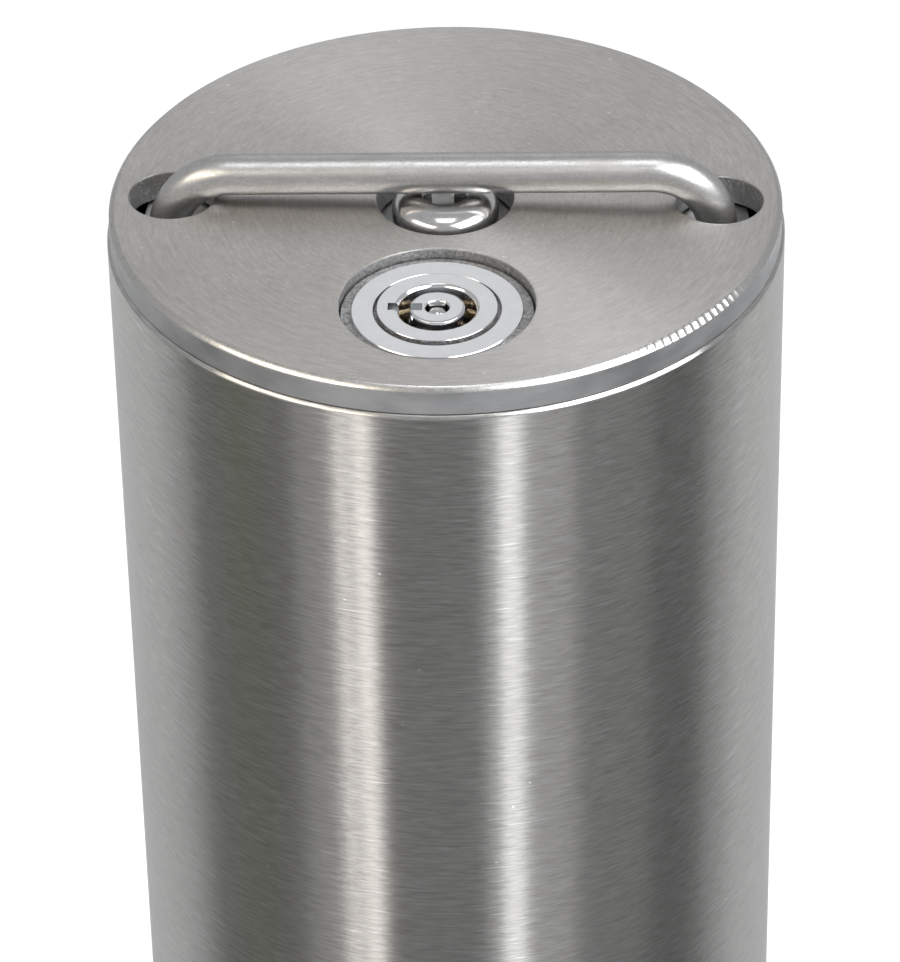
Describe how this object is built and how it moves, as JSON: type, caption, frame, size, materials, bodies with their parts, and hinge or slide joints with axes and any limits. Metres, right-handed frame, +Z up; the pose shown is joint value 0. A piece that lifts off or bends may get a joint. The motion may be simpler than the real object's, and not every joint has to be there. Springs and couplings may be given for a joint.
{
  "type": "steel safety bollard",
  "caption": "Removable stainless steel bollard with a lift-up handle and key lock in its cap, standing in a flanged ground socket.",
  "frame": {"origin": "centre of the underside of the ground socket", "axes": "+Z up along the post, +X along the handle bar, -Y toward the side of the cap that holds the lock"},
  "size_m": [0.16, 0.16, 1.207],
  "materials": {
    "tube_steel": "stainless tube, brushed around its circumference",
    "ground_steel": "laser-cut stainless plate, face ground in a circular pattern",
    "handle_steel": "satin stainless round bar",
    "polished_steel": "polished stainless screw",
    "lock_chrome": "satin chrome lock face with polished edges",
    "pin_brass": "dull brass",
    "zinc_steel": "plain mill-finish steel",
    "dark_plastic": "black nylon guide"
  },
  "bodies": {
    "ground_socket": {"socket_base": "zinc_steel", "socket_sleeve": "zinc_steel", "keeper_ring": "ground_steel", "ground_flange": "tube_steel", "upper_liner": "dark_plastic", "lower_liner": "dark_plastic", "anchor_lug_1": "zinc_steel", "anchor_lug_2": "zinc_steel", "anchor_lug_3": "zinc_steel"},
    "post": {"post_tube": "tube_steel", "foot_plate": "zinc_steel", "bridge_bar": "zinc_steel", "top_disc": "ground_steel", "inner_plate": "zinc_steel", "centre_screw": "polished_steel", "lock_body": "lock_chrome", "lock_nut": "zinc_steel", "upper_bush": "dark_plastic", "lower_bush": "dark_plastic"},
    "lock_train": {"lock_spindle": "lock_chrome", "spindle_pin": "pin_brass", "rod_coupling": "zinc_steel", "coupling_pin_1": "zinc_steel", "coupling_pin_2": "zinc_steel", "lock_rod": "zinc_steel", "rod_collar": "zinc_steel", "collar_screw": "zinc_steel", "lock_cam": "zinc_steel", "cam_nut": "zinc_steel"},
    "key_pins": {"key_pin_1": "pin_brass", "key_pin_2": "pin_brass", "key_pin_3": "pin_brass", "key_pin_4": "pin_brass", "key_pin_5": "pin_brass", "key_pin_6": "pin_brass", "key_pin_7": "pin_brass"},
    "lifting_handle": {"handle": "handle_steel", "handle_washer_1": "zinc_steel", "handle_washer_2": "zinc_steel", "handle_nut_1": "zinc_steel", "handle_nut_2": "zinc_steel"}
  },
  "joints": [
    {"name": "post_lift", "type": "slide", "parent": "ground_socket", "child": "post", "axis": [0, 0, 1], "range_m": [0, 0.3]},
    {"name": "lock_turn", "type": "hinge", "parent": "post", "child": "lock_train", "pos_m": [0, -0.0248, 1.2], "axis": [0, 0, 1], "range_deg": [-90, 0]},
    {"name": "pin_press", "type": "slide", "parent": "lock_train", "child": "key_pins", "axis": [0, 0, -1], "range_m": [0, 0.0025], "stiffness_N_per_m": 400},
    {"name": "handle_lift", "type": "slide", "parent": "post", "child": "lifting_handle", "axis": [-0.0183, 0, 0.9998], "range_m": [0, 0.035]}
  ]
}
